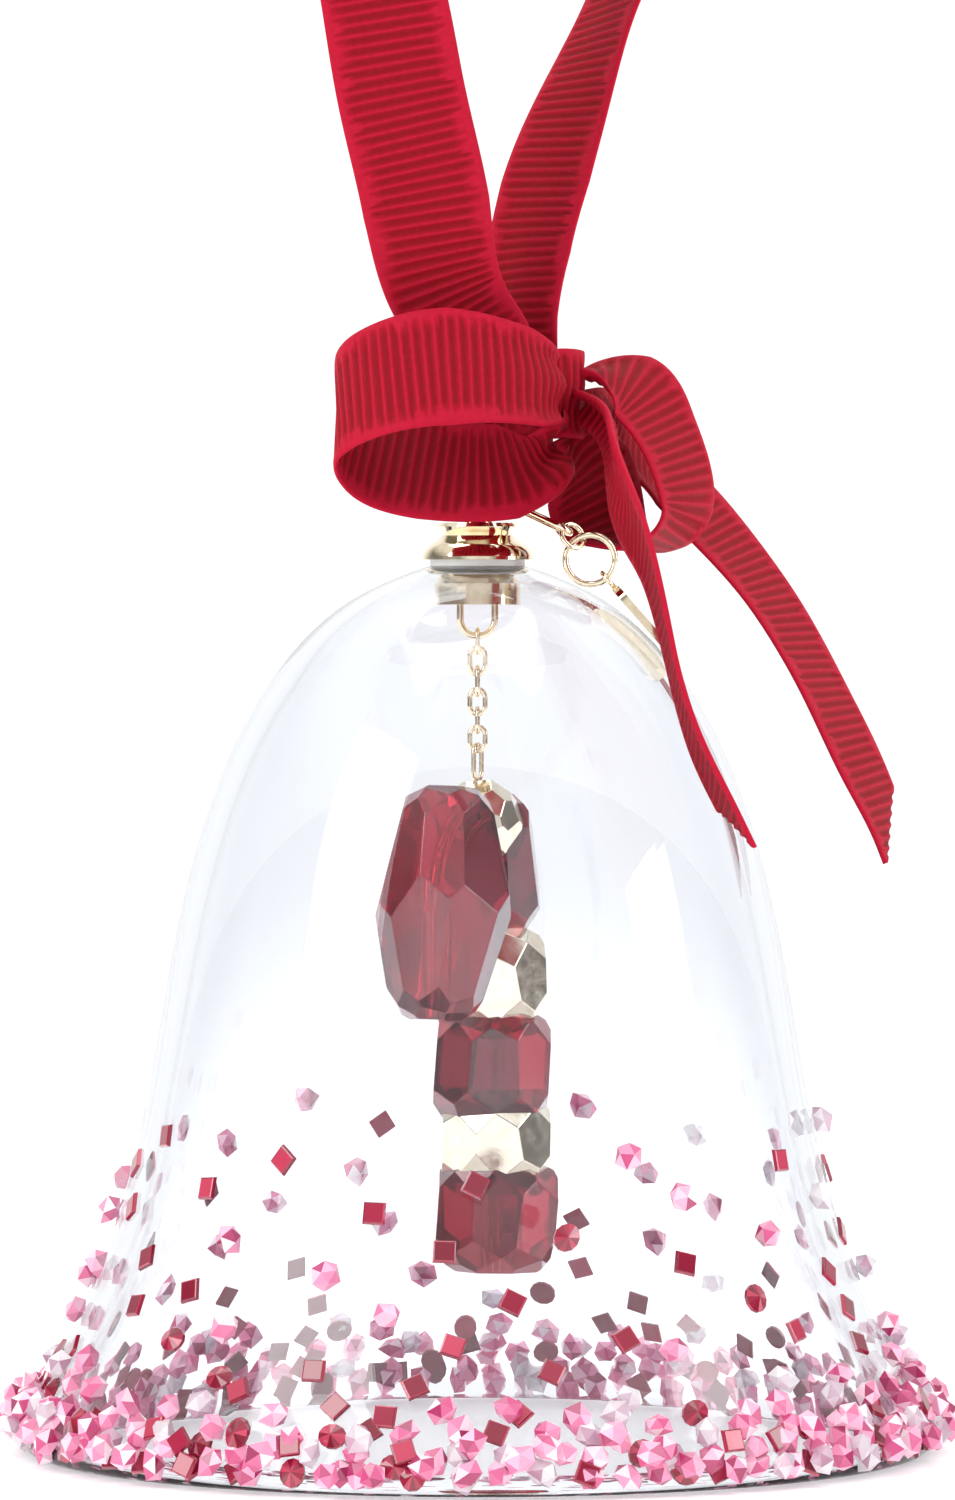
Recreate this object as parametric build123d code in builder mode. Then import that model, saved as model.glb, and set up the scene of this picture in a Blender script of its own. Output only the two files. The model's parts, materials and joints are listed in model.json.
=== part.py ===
from build123d import *
import math
import os

# Christmas bell ornament: a hand-blown glass bell on a tied ribbon, with a faceted candy-cane
# clapper on a fine chain and cut stones glued round the mouth.
# Millimetres, +Z up. The origin is the centre of the bell's mouth, in the plane of its rim.
# -Y is the front, where the cane's hook and the bow's large loop are.

# ---- driving sizes: glass bell ----
bell_height = 69.7
crown_radius = 3.9
neck_radius = 10.0
neck_drop = 2.7
shoulder_radius = 15.8
shoulder_drop = 8.3
body_radius = 21.1
body_drop = 18.7
waist_radius = 24.9
waist_height = 35.0
flare_radius = 28.3
flare_height = 19.0
skirt_radius = 31.1
skirt_height = 11.5
lip_radius = 33.4
lip_height = 7.0
mouth_radius = 36.0
rim_swell_inset = 0.7
rim_swell_height = 3.2
rim_height = 0.9
glass_wall = 1.8
crown_wall = 1.1

# ---- driving sizes: cap, stud, nut and shackle ----
stud_diameter = 3.2
stud_hole_clearance = 0.15
gasket_diameter = 7.5
gasket_thickness = 0.5
inner_gasket_thickness = 0.3
cap_diameter = 8.8
cap_skirt = 0.25
cap_waist_diameter = 5.7
cap_waist_rise = 1.9
cap_top_diameter = 6.6
cap_curl_inset = 0.55
cap_curl_rise = 1.1
cap_top_bevel = 0.3
cap_height = 2.9
nut_diameter = 6.8
nut_height = 2.2
nut_chamfer = 0.8
shackle_width = 3.3
shackle_drop = 2.8
shackle_wire = 0.56
ring_radius = 2.2
ring_wire = 0.7

# ---- driving sizes: clapper chain and cane ----
chain_link_count = 6
link_length = 2.3
link_width = 1.6
link_wire = 0.4
link_play = 0.05
eye_length = 3.2
eye_seat = 0.5
eye_width = 1.7
eye_turn = 62
eye_play = 0.1
bead_diameter = 9.0
bead_pitch = 6.5
bead_nesting = 0.12
crook_reach = 13.0
crook_turn = 21
balance_offset = 4.0
crook_rise = 10.25
saddle_start_turn = 50
saddle_end_turn = 78
hook_drop = 8.6
core_wire = 1.2
core_clearance = 0.05
shaft_drop = 39.0
foot_length = 7.4

# ---- driving sizes: ribbon ----
ribbon_width = 10.0
ribbon_thickness = 0.6
knot_size = (10.0, 4.4, 6.4)
knot_centre = (3.5, 0.2, 13.4)
saddle_width = 2.0
saddle_thickness = 1.0
saddle_play = 0.5
saddle_side_play = 0.1

# ---- driving sizes: name tag ----
tag_link_length = 7.9
tag_link_width = 2.4
tag_link_wire = 0.55
small_ring_radius = 1.05
small_ring_wire = 0.4
jump_ring_radius = 1.95
jump_ring_wire = 0.5
tag_length = 8.0
tag_width = 4.6
tag_thickness = 0.6
tag_loop_radius = 0.75
tag_loop_wire = 0.4
tag_stand_off = 0.9

# ---- driving sizes: stones ----
glue_gap = 0.06
stone_gap = 0.12
square_side = 1.75
square_height = 0.75
round_diameter = 2.3
round_height = 0.85
pink_diameter = 2.2
pink_height = 1.15
clear_diameter = 2.3
clear_height = 1.1
square_girdle = 0.35
square_table = 0.62
round_girdle = 0.3

PARTS = "parts"
golden_angle = 180 * (3 - math.sqrt(5))


def save(name, piece):
    """Label one finished piece and write it as its own file."""
    piece.part.label = name
    export_step(piece.part, os.path.join(PARTS, name + ".step"))


# ---- bell outline: one curve from the crown to the rim, used by the glass and all that sits on it ----
outline_points = [
    (crown_radius, bell_height),
    (neck_radius, bell_height - neck_drop),
    (shoulder_radius, bell_height - shoulder_drop),
    (body_radius, bell_height - body_drop),
    (waist_radius, waist_height),
    (flare_radius, flare_height),
    (skirt_radius, skirt_height),
    (lip_radius, lip_height),
    (mouth_radius - rim_swell_inset, rim_swell_height),
    (mouth_radius, rim_height),
]
bell_outline = Spline(*outline_points)


def outline_at(share):
    """Point and outward normal of the bell's outline, as (radius, height) pairs."""
    spot = bell_outline @ share
    run = bell_outline % share
    return (spot.X, spot.Y), (-run.Y, run.X)


def share_at(value, axis):
    """Share of the outline at which its radius (axis 0) or its height (axis 1) has this value."""
    low, high = 0.0, 1.0
    rising = axis == 0
    for step in range(30):
        middle = (low + high) / 2
        if (outline_at(middle)[0][axis] < value) == rising:
            low = middle
        else:
            high = middle
    return (low + high) / 2


def radius_at(height):
    """Outer radius of the glass at a height."""
    return outline_at(share_at(height, 1))[0][0]


def height_at(radius):
    """Height of the glass's outer surface at a radius."""
    return outline_at(share_at(radius, 0))[0][1]


def inner_outline_points():
    """Points a wall's thickness inside the outline; the wall thickens from the crown to the body."""
    points = [(crown_radius, bell_height - crown_wall)]
    for radius, height in outline_points[1:]:
        (r, z), (nr, nz) = outline_at(share_at(height, 1))
        wall = (crown_wall + glass_wall) / 2 if radius < shoulder_radius else glass_wall
        points.append((r - nr * wall, z - nz * wall))
    return points


# ---- heights of the pieces that stack on the crown ----
gasket_top = bell_height + gasket_thickness
cap_top = gasket_top + cap_height
ring_foot_height = 0.9
ring_height = cap_top + ring_foot_height + ring_radius
inner_gasket_bottom = bell_height - crown_wall - inner_gasket_thickness
nut_bottom = inner_gasket_bottom - nut_height
stud_hole_radius = stud_diameter / 2 + stud_hole_clearance
rim_bevel = 0.3


def glass_bell_part():
    """Bell: the outline turned about the axis, hollowed by its inner copy and bored for the stud."""
    inside = inner_outline_points()
    with BuildPart() as bell:
        with BuildSketch(Plane.XZ):
            with BuildLine():
                Spline(*outline_points)
                Polyline(
                    outline_points[-1],
                    (mouth_radius - rim_bevel, 0),
                    (0, 0),
                    (0, bell_height),
                    outline_points[0],
                )
            make_face()
        revolve(axis=Axis.Z)
        with BuildSketch(Plane.XZ):
            with BuildLine():
                Spline(*inside)
                Polyline(
                    inside[-1],
                    (inside[-1][0] + rim_bevel, -rim_bevel),
                    (0, -rim_bevel),
                    (0, inside[0][1]),
                    inside[0],
                )
            make_face()
        revolve(axis=Axis.Z, mode=Mode.SUBTRACT)
        with BuildSketch(Plane.XY.offset(inside[0][1] - crown_wall)):
            Circle(stud_hole_radius)
        extrude(amount=3 * crown_wall, mode=Mode.SUBTRACT)
    return bell


def washer(outer_diameter, bottom, thickness):
    """Flat ring on the stud."""
    with BuildPart() as ring:
        with BuildSketch(Plane.XY.offset(bottom)):
            Circle(outer_diameter / 2)
            Circle(stud_hole_radius, mode=Mode.SUBTRACT)
        extrude(amount=thickness)
    return ring


def dome_cap_part():
    """Cap: a flared skirt that rises to a narrow waist under a small top tier."""
    edge = cap_diameter / 2
    waist = cap_waist_diameter / 2
    with BuildPart() as cap:
        with BuildSketch(Plane.XZ):
            with BuildLine():
                Polyline((0, cap_top), (0, gasket_top), (edge, gasket_top), (edge, gasket_top + cap_skirt))
                Spline(
                    (edge, gasket_top + cap_skirt),
                    (edge - cap_curl_inset, gasket_top + cap_curl_rise),
                    (waist, gasket_top + cap_waist_rise),
                    tangents=[(-0.3, 1.0), (-0.6, 1.0)],
                )
                Polyline(
                    (waist, gasket_top + cap_waist_rise),
                    (cap_top_diameter / 2, cap_top - cap_top_bevel),
                    (cap_top_diameter / 2 - cap_top_bevel, cap_top),
                    (0, cap_top),
                )
            make_face()
        revolve(axis=Axis.Z)
        with BuildSketch(Plane.XY.offset(gasket_top)):
            Circle(stud_diameter / 2)
        extrude(amount=stud_seat, mode=Mode.SUBTRACT)
    return cap


stud_seat = 1.4


def cap_stud_part():
    """Threaded stud that runs from the cap through the glass into the nut."""
    with BuildPart() as stud:
        with BuildSketch(Plane.XY.offset(nut_bottom)):
            Circle(stud_diameter / 2)
        extrude(amount=gasket_top + stud_seat - nut_bottom)
    return stud


def inner_nut_part():
    """Round nut inside the bell, with a chamfered top and a hole for the stud."""
    with BuildPart() as nut:
        with BuildSketch(Plane.XY.offset(nut_bottom)):
            Circle(nut_diameter / 2)
        extrude(amount=nut_height)
        chamfer(nut.faces().sort_by(Axis.Z)[-1].edges(), length=nut_chamfer)
        with BuildSketch(Plane.XY.offset(nut_bottom)):
            Circle(stud_diameter / 2)
        extrude(amount=nut_height, mode=Mode.SUBTRACT)
    return nut


def shackle_part():
    """U of wire under the nut; its legs stop against the nut's underside."""
    half = (shackle_width - shackle_wire) / 2
    bend = shackle_bar_height + half
    with BuildPart() as shackle:
        with BuildLine() as path:
            Line((-half, 0, nut_bottom), (-half, 0, bend))
            ThreePointArc((-half, 0, bend), (0, 0, shackle_bar_height), (half, 0, bend))
            Line((half, 0, bend), (half, 0, nut_bottom))
        with BuildSketch(Plane(origin=(-half, 0, nut_bottom), z_dir=(0, 0, -1))):
            Circle(shackle_wire / 2)
        sweep(path=path.wire())
    return shackle


shackle_bar_height = nut_bottom - shackle_drop + shackle_wire / 2


def hang_ring_part():
    """Ring that stands on the cap, with the small foot that holds it."""
    upright = Plane(origin=(0, 0, ring_height), x_dir=(1, 0, 0), z_dir=(0, -1, 0))
    with BuildPart() as ring:
        with BuildSketch(Plane.XY.offset(cap_top)):
            Circle(ring_foot_radius)
        extrude(amount=ring_foot_height + ring_wire / 2, taper=12)
        with Locations(upright.location):
            Torus(ring_radius, ring_wire / 2)
    return ring


ring_foot_radius = 1.2


def oval_link(centre, across, normal, length, width, wire):
    """Closed link of round wire: two half circles joined by straight sides, in its own plane."""
    plane = Plane(origin=centre, x_dir=across, z_dir=normal)
    half_width = (width - wire) / 2
    half_side = (length - wire) / 2 - half_width
    with BuildPart() as link:
        with BuildLine(plane) as path:
            Line((half_width, -half_side), (half_width, half_side))
            ThreePointArc((half_width, half_side), (0, half_side + half_width), (-half_width, half_side))
            Line((-half_width, half_side), (-half_width, -half_side))
            ThreePointArc((-half_width, -half_side), (0, -half_side - half_width), (half_width, -half_side))
        with BuildSketch(Plane(origin=plane.from_local_coords((half_width, 0, 0)), z_dir=plane.y_dir)):
            Circle(wire / 2)
        sweep(path=path.wire())
    return link


def upright_link(top, turn, length, width, wire):
    """Hanging link whose top wire is centred at a height, turned about the bell's axis."""
    across = (math.cos(math.radians(turn)), math.sin(math.radians(turn)), 0)
    normal = (math.sin(math.radians(turn)), -math.cos(math.radians(turn)), 0)
    return oval_link((0, 0, top - (length - wire) / 2), across, normal, length, width, wire)


def chain_tops():
    """Height of each hanging link's top wire, from the shackle's bar down to the cane's eye."""
    tops = [shackle_bar_height + shackle_wire / 2 + link_play + link_wire / 2]
    for number in range(chain_link_count):
        tops.append(tops[-1] - (link_length - link_wire) + link_wire + link_play)
    tops[-1] += eye_play - link_play
    return tops


# ---- cane: one bent wire with the beads threaded on it ----
link_tops = chain_tops()
eye_bottom = link_tops[-1] + link_wire / 2 - eye_length
crook_radius = crook_reach / 2
crook_direction = (-math.sin(math.radians(crook_turn)), -math.cos(math.radians(crook_turn)), 0)
cane_side = (math.cos(math.radians(crook_turn)), -math.sin(math.radians(crook_turn)), 0)
crook_centre_height = eye_bottom + eye_seat - crook_rise
shaft_bottom = eye_bottom - shaft_drop
shaft_length = crook_centre_height - shaft_bottom
arc_length = math.pi * crook_radius
hook_end = shaft_length + arc_length + hook_drop
saddle_start = shaft_length + crook_radius * math.radians(saddle_start_turn)
saddle_end = shaft_length + crook_radius * math.radians(saddle_end_turn)


def cane_point(reach, height):
    """Point in the cane's plane: reach is measured from the shaft towards the hook."""
    along = reach - balance_offset
    return (crook_direction[0] * along, crook_direction[1] * along, height)


def cane_plane(travel):
    """Plane across the cane's wire at a distance along it from the foot of the shaft."""
    if travel <= shaft_length:
        reach, height, lean = 0, shaft_bottom + travel, 0
    elif travel <= shaft_length + arc_length:
        lean = (travel - shaft_length) / crook_radius
        reach = crook_radius * (1 - math.cos(lean))
        height = crook_centre_height + crook_radius * math.sin(lean)
    else:
        lean = math.pi
        reach = crook_reach
        height = crook_centre_height - (travel - shaft_length - arc_length)
    heading = (crook_direction[0] * math.sin(lean), crook_direction[1] * math.sin(lean), math.cos(lean))
    return Plane(origin=cane_point(reach, height), x_dir=cane_side, z_dir=heading)


def cane_rod(diameter, start, end):
    """Round rod along the cane's centre line between two distances."""
    apex = shaft_length + arc_length / 2
    with BuildPart() as rod:
        with BuildLine() as path:
            Line(cane_plane(start).origin, cane_plane(shaft_length).origin)
            ThreePointArc(
                cane_plane(shaft_length).origin,
                cane_plane(apex).origin,
                cane_plane(shaft_length + arc_length).origin,
            )
            Line(cane_plane(shaft_length + arc_length).origin, cane_plane(end).origin)
        with BuildSketch(cane_plane(start)):
            Circle(diameter / 2)
        sweep(path=path.wire())
    return rod


def cane_bead(start, end, profile, turn):
    """Cut bead between two distances on the cane: flat facets between eight-sided sections."""
    with BuildPart() as bead:
        for share, size in profile:
            with BuildSketch(cane_plane(start + (end - start) * share)):
                RegularPolygon(radius=bead_diameter / 2 * size, side_count=8, rotation=turn)
        loft(ruled=True)
        add(core_bore.part, mode=Mode.SUBTRACT)
        add(eye_seat_cut.part, mode=Mode.SUBTRACT)
    return bead


core_start = 1.0
core_end = hook_end - 1.0
core_bore = cane_rod(core_wire + 2 * core_clearance, core_start, core_end)
eye_seat_cut = upright_link(
    link_tops[-1] + core_clearance, eye_turn, eye_length + 2 * core_clearance, eye_width, link_wire + 2 * core_clearance
)
short_bead = [(0, 0.74), (0.22, 0.98), (0.7, 1.04), (1, 0.8)]
foot_bead = [(0, 0.66), (0.2, 0.96), (0.6, 1.06), (0.85, 0.98), (1, 0.8)]
back_bead = [(0, 0.72), (0.2, 0.92), (0.5, 0.98), (0.8, 0.96), (1, 0.7)]
saddle_bead = [(0, 0.72), (0.5, 0.86), (1, 0.72)]
front_bead = [(0, 0.6), (0.12, 0.84), (0.3, 0.98), (0.55, 1.06), (0.8, 0.98), (0.93, 0.78), (1, 0.5)]


# ---- ribbon: flat strips through sections placed along a hand-laid route ----
def ribbon_planes(route, steps):
    """Sections along a route: (plane, width), with the ribbon's width along the plane's x axis."""
    places = [Vector(*row[0]) for row in route]
    lengths = [0]
    for before, after in zip(places, places[1:]):
        lengths.append(lengths[-1] + (after - before).length)
    line = Spline(*places)
    planes = []
    for number in range(len(route) - 1):
        for step in range(steps):
            planes.append(section_on(line, route, lengths, number, step / steps))
    planes.append(section_on(line, route, lengths, len(route) - 2, 1))
    return planes


def section_on(line, route, lengths, number, share):
    """One section a share of the way from one route point to the next."""
    run = lengths[number] + (lengths[number + 1] - lengths[number]) * share
    spot = line.position_at(run / lengths[-1], position_mode=PositionMode.PARAMETER)
    heading = line.tangent_at(run / lengths[-1], position_mode=PositionMode.PARAMETER)
    across = Vector(*route[number][1]) * (1 - share) + Vector(*route[number + 1][1]) * share
    across = across - heading * across.dot(heading)
    width = route[number][2] * (1 - share) + route[number + 1][2] * share
    return Plane(origin=spot, x_dir=across, z_dir=heading), width


def ribbon_strip(route, steps=3):
    """Flat strip along a route, cut flush where it enters the knot."""
    with BuildPart() as strip:
        for plane, width in ribbon_planes(route, steps):
            with BuildSketch(plane):
                Rectangle(width, ribbon_thickness)
        loft(ruled=True)
        add(bow_knot.part, mode=Mode.SUBTRACT)
    return strip


def knot_part():
    """Knot round the strands, just above the ring."""
    x, y, z = knot_centre
    with BuildPart() as knot:
        with BuildSketch(Plane(origin=(x, y, bell_height + z - knot_size[2] / 2))):
            RectangleRounded(knot_size[0], knot_size[1], knot_corner)
        extrude(amount=knot_size[2])
    return knot


knot_corner = 1.2
knot_bottom = bell_height + knot_centre[2] - knot_size[2] / 2


def saddle_part():
    """Bunched ribbon that passes through the ring and up into the knot on both sides."""
    turn_radius = ring_wire / 2 + saddle_play + saddle_side_play + saddle_thickness / 2
    ring_inside_top = ring_height + ring_radius - ring_wire / 2
    turn_height = ring_inside_top - saddle_play - saddle_thickness / 2 + turn_radius
    with BuildPart() as saddle:
        with BuildLine() as path:
            Line((0, -turn_radius, knot_bottom), (0, -turn_radius, turn_height))
            ThreePointArc(
                (0, -turn_radius, turn_height),
                (0, 0, turn_height - turn_radius),
                (0, turn_radius, turn_height),
            )
            Line((0, turn_radius, turn_height), (0, turn_radius, knot_bottom))
        with BuildSketch(Plane(origin=(0, -turn_radius, knot_bottom), x_dir=(1, 0, 0), z_dir=(0, 0, -1))):
            Rectangle(saddle_width, saddle_thickness)
        sweep(path=path.wire())
    return saddle


def above_crown(rows):
    """Route rows with their heights counted from the bell's crown."""
    return [((x, y, bell_height + z), across, width) for (x, y, z), across, width in rows]


hanging_route = above_crown([
    ((1.6, -0.6, 14.8), (1, 0, 0), 7.0),
    ((0.4, -1.6, 17.4), (1, 0, 0), 8.0),
    ((-2.0, -3.4, 20.6), (1, 0, 0), 9.0),
    ((-4.0, -5.6, 28.0), (1, 0, 0), 10.0),
    ((-5.9, -7.6, 36.5), (1, 0, 0), 10.0),
    ((-7.3, -9.0, 44.0), (0.98, -0.2, 0), 10.0),
    ((-8.3, -10.3, 50.5), (0.92, -0.4, 0), 10.0),
    ((-5.9, -7.9, 59.0), (0.8, -0.6, 0), 10.0),
    ((2.1, 0.1, 64.8), (0.707, -0.707, 0), 10.0),
    ((10.1, 8.1, 59.0), (0.6, -0.8, 0), 10.0),
    ((12.5, 10.4, 50.5), (0.5, -0.866, 0), 10.0),
    ((10.6, 8.7, 44.8), (0.43, -0.9, 0), 10.0),
    ((8.0, 6.4, 38.4), (0.57, -0.82, 0), 10.0),
    ((5.4, 4.2, 30.5), (0.7, -0.71, 0), 10.0),
    ((3.9, 2.7, 24.5), (0.75, -0.66, 0), 9.0),
    ((3.3, 1.4, 19.5), (0.85, -0.5, 0), 7.0),
    ((3.4, 0.9, 15.0), (0.97, -0.2, 0), 6.0),
])

left_loop_route = above_crown([
    ((4.6, -1.0, 14.0), (0, 0.3, 0.95), 3.4),
    ((6.4, -4.6, 14.0), (0, 0.25, 0.97), 5.0),
    ((4.6, -9.3, 14.6), (0, 0.35, 0.94), 8.0),
    ((-2.2, -12.6, 15.4), (0, 0.4, 0.92), 10.0),
    ((-8.0, -11.6, 14.3), (0, 0.45, 0.9), 10.0),
    ((-10.8, -8.6, 12.0), (0, 0.5, 0.87), 10.0),
    ((-9.2, -6.2, 9.4), (0, 0.55, 0.83), 10.0),
    ((-4.0, -5.4, 7.7), (0, 0.57, 0.82), 10.0),
    ((2.4, -5.2, 7.4), (0, 0.57, 0.82), 9.0),
    ((5.5, -4.0, 8.4), (0, 0.57, 0.82), 5.0),
    ((5.8, -1.0, 11.2), (0, 0.57, 0.82), 3.4),
])

right_loop_route = above_crown([
    ((6.4, 1.2, 14.6), (0.6, 0.78, 0.1), 3.4),
    ((9.4, 2.2, 15.2), (0.65, 0.74, 0.15), 7.0),
    ((12.3, 2.4, 14.4), (0.65, 0.74, 0.15), 10.0),
    ((14.7, 2.4, 11.2), (0.55, 0.83, 0.05), 10.0),
    ((16.3, 2.4, 7.2), (0.46, 0.88, 0.08), 10.0),
    ((16.5, 2.4, 4.2), (0.42, 0.9, 0.05), 10.0),
    ((15.0, 2.5, 2.1), (0.38, 0.92, 0), 10.0),
    ((11.4, 3.4, 1.6), (0.35, 0.93, 0), 10.0),
    ((8.4, 4.3, 3.4), (0.4, 0.9, 0.1), 8.5),
    ((7.1, 3.2, 7.2), (0.5, 0.85, 0.1), 6.0),
    ((6.9, 1.5, 10.9), (0.6, 0.78, 0.1), 3.4),
])

front_tail_route = above_crown([
    ((8.2, -0.4, 12.6), (0.2, -0.9, -0.3), 3.2),
    ((10.0, -3.4, 11.0), (0.2, -0.9, -0.3), 5.0),
    ((10.6, -8.2, 7.0), (0.2, -0.93, -0.25), 9.0),
    ((12.6, -13.5, 1.7), (0.22, -0.95, -0.2), 10.0),
    ((14.7, -15.6, -6.2), (0.2, -0.97, -0.15), 10.0),
    ((16.9, -17.6, -14.1), (0.15, -0.98, -0.1), 10.0),
    ((19.3, -19.0, -19.0), (0.15, -0.98, -0.1), 8.0),
    ((20.9, -19.6, -22.4), (0.15, -0.98, -0.1), 1.6),
])

side_tail_route = above_crown([
    ((7.2, 1.4, 12.6), (0.3, 0.9, 0.2), 3.0),
    ((9.8, 5.4, 12.0), (0.3, 0.9, 0.2), 5.0),
    ((12.0, 9.6, 10.2), (0.3, 0.93, 0.2), 8.0),
    ((15.2, 12.0, 7.2), (0.25, 0.9, 0.35), 10.0),
    ((18.4, 12.0, 3.9), (0.16, 0.88, 0.44), 10.0),
    ((23.8, 10.8, -2.8), (0.31, 0.92, 0.2), 10.0),
    ((27.6, 9.2, -9.4), (0.36, 0.92, 0.1), 10.0),
    ((30.8, 8.2, -16.2), (0.36, 0.92, 0.1), 10.0),
    ((32.9, 7.8, -20.8), (0.3, 0.93, 0.1), 8.0),
    ((33.9, 7.6, -23.4), (0.3, 0.93, 0.1), 1.6),
])


# ---- name tag on its link and rings ----
def unit(vector):
    """Vector of length one."""
    return vector / vector.length


tag_hook_turn = -35
tag_link_aim = Vector(8.2, -3.1, cap_top - 1.2)
hook_cos = math.cos(math.radians(tag_hook_turn))
hook_sin = math.sin(math.radians(tag_hook_turn))
tag_hook = Vector(ring_radius * hook_cos, 0, ring_height + ring_radius * hook_sin)
hook_run = Vector(-hook_sin, 0, hook_cos)
link_run = unit(tag_link_aim - tag_hook)
link_normal = unit(hook_run - link_run * hook_run.dot(link_run))
link_across = link_run.cross(link_normal)
tag_link_play = 0.15
near_wire = ring_wire / 2 + tag_link_play + tag_link_wire / 2
tag_link_reach = tag_link_length - tag_link_wire
tag_link_centre = tag_hook + link_run * (tag_link_reach / 2 - near_wire)
tag_link_end = tag_hook + link_run * (tag_link_reach - near_wire)
ring_lean = unit(Vector(-0.6, 0, 0.8))
wire_spread = (tag_link_wire + jump_ring_wire) / 4 + 0.12
small_ring_centre = tag_link_end - ring_lean * wire_spread
jump_ring_run = Vector(0.8, 0, 0.6)
small_ring_normal = unit(link_across + jump_ring_run)
small_ring_normal = unit(small_ring_normal - ring_lean * small_ring_normal.dot(ring_lean))
jump_ring_centre = tag_link_end - ring_lean * (2 * wire_spread + jump_ring_radius)


def tag_slope():
    """Downward angle at which the tag's far end lies its stand-off above the glass."""
    reach = jump_ring_radius + tag_loop_wire + tag_loop_radius + tag_length
    low, high = 0.0, 80.0
    for step in range(30):
        middle = (low + high) / 2
        x = jump_ring_centre.X + reach * math.cos(math.radians(middle))
        z = jump_ring_centre.Z - reach * math.sin(math.radians(middle))
        if z > height_at(math.hypot(x, jump_ring_centre.Y)) + tag_stand_off + tag_thickness / 2:
            low = middle
        else:
            high = middle
    return low


def round_ring(centre, normal, radius, wire):
    """Ring of round wire."""
    with BuildPart() as ring:
        with Locations(Plane(origin=centre, z_dir=normal).location):
            Torus(radius, wire / 2)
    return ring


def tag_part():
    """Plain rounded tag with the loop that hangs on the jump ring."""
    slope = math.radians(tag_slope())
    run = Vector(math.cos(slope), 0, -math.sin(slope))
    loop_centre = jump_ring_centre + run * (jump_ring_radius - jump_ring_wire / 2 + loop_inset)
    face = Plane(origin=loop_centre, x_dir=run, z_dir=run.cross(Vector(0, 1, 0)) * -1)
    with BuildPart() as tag:
        with Locations(face.location):
            Torus(tag_loop_radius, tag_loop_wire / 2)
        with BuildSketch(face.offset(-tag_thickness / 2)):
            with Locations((tag_loop_radius + tag_length / 2, 0)):
                RectangleRounded(tag_length, tag_width, tag_corner)
        extrude(amount=tag_thickness)
    return tag


tag_corner = 1.6
loop_inset = tag_loop_radius - tag_loop_wire / 2 - 0.1


# ---- stones ----
def square_stone():
    """Square stone with a flat table and four sloping sides."""
    with BuildPart() as stone:
        with BuildSketch():
            Rectangle(square_side, square_side)
        with BuildSketch(Plane.XY.offset(square_height * square_girdle)):
            Rectangle(square_side, square_side)
        with BuildSketch(Plane.XY.offset(square_height)):
            Rectangle(square_side * square_table, square_side * square_table)
        loft(ruled=True)
    return stone


def round_stone(diameter, height, sides, table):
    """Many-sided stone with a flat back, a girdle and a small table."""
    with BuildPart() as stone:
        with BuildSketch():
            RegularPolygon(radius=diameter / 2, side_count=sides)
        with BuildSketch(Plane.XY.offset(height * round_girdle)):
            RegularPolygon(radius=diameter / 2, side_count=sides)
        with BuildSketch(Plane.XY.offset(height)):
            RegularPolygon(radius=diameter / 2 * table, side_count=sides)
        loft(ruled=True)
    return stone


def stone_plane(height, bearing, spin):
    """Plane on the glass at a height and bearing, facing outwards, turned by a spin."""
    (radius, level), normal = outline_at(share_at(height, 1))
    side = 1 if normal[0] > 0 else -1
    out = Vector(
        math.cos(math.radians(bearing)) * normal[0] * side,
        math.sin(math.radians(bearing)) * normal[0] * side,
        normal[1] * side,
    )
    foot = Vector(radius * math.cos(math.radians(bearing)), radius * math.sin(math.radians(bearing)), level)
    level_way = unit(out.cross(Vector(0, 0, 1)))
    slope_way = unit(out).cross(level_way)
    turn = math.radians(spin)
    along = level_way * math.cos(turn) + slope_way * math.sin(turn)
    return Plane(origin=foot + unit(out) * glue_gap, x_dir=along, z_dir=out)


def stone_spots():
    """Places for every stone: two close rows round the rim, then a scatter that thins upwards."""
    spots = []
    for row, (height, count) in enumerate(rim_rows):
        for number in range(count):
            sway = math.sin(number * 2.4 + row * 1.7)
            bearing = 360 * (number + 0.5 * (row % 2)) / count + 0.7 * sway
            spots.append((height + 0.28 * math.sin(number * 5.1 + row), bearing, number * 37 + row * 11))
    rim_total = len(spots)
    for number in range(scatter_count):
        share = (number + 0.5) / scatter_count
        height = scatter_low + (scatter_high - scatter_low) * share ** 1.5
        spots.append((height, number * golden_angle, number * 53))
    return spots, rim_total


rim_rows = [(1.75, 84), (4.2, 76)]
scatter_count = 110
scatter_low = 7.2
scatter_high = 26.0


def stone_group(stone, planes):
    """One node that holds all the stones of one cut in one zone."""
    with BuildPart() as group:
        with Locations(*[plane.location for plane in planes]):
            add(stone.part)
    return group


def sort_stones():
    """Deal the places out to the cuts, in a fixed mixed order, leaving out any that would touch."""
    spots, rim_total = stone_spots()
    groups = {}
    placed = []
    for number, (height, bearing, spin) in enumerate(spots):
        zone = "rim" if number < rim_total else "scattered"
        mix = (number * 7 + number // 9) % 20
        shares = rim_mix if zone == "rim" else scatter_mix
        cut = [name for name, limit in shares if mix < limit][0]
        plane = stone_plane(height, bearing, spin)
        reach = stone_reach[cut]
        clear = all((plane.origin - other).length > reach + size + stone_gap for other, size in placed)
        if clear and plane.origin.Z - reach * 0.9 > 0:
            placed.append((plane.origin, reach))
            groups.setdefault(zone + "_" + cut, []).append(plane)
    return groups


rim_mix = [("square_stones", 4), ("round_stones", 7), ("pink_stones", 17), ("clear_stones", 20)]
scatter_mix = [("square_stones", 8), ("round_stones", 10), ("pink_stones", 18), ("clear_stones", 20)]
stone_reach = {
    "square_stones": square_side * 0.62,
    "round_stones": round_diameter / 2,
    "pink_stones": pink_diameter / 2,
    "clear_stones": clear_diameter / 2,
}

# ---- build every piece ----
os.makedirs(PARTS, exist_ok=True)

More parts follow.
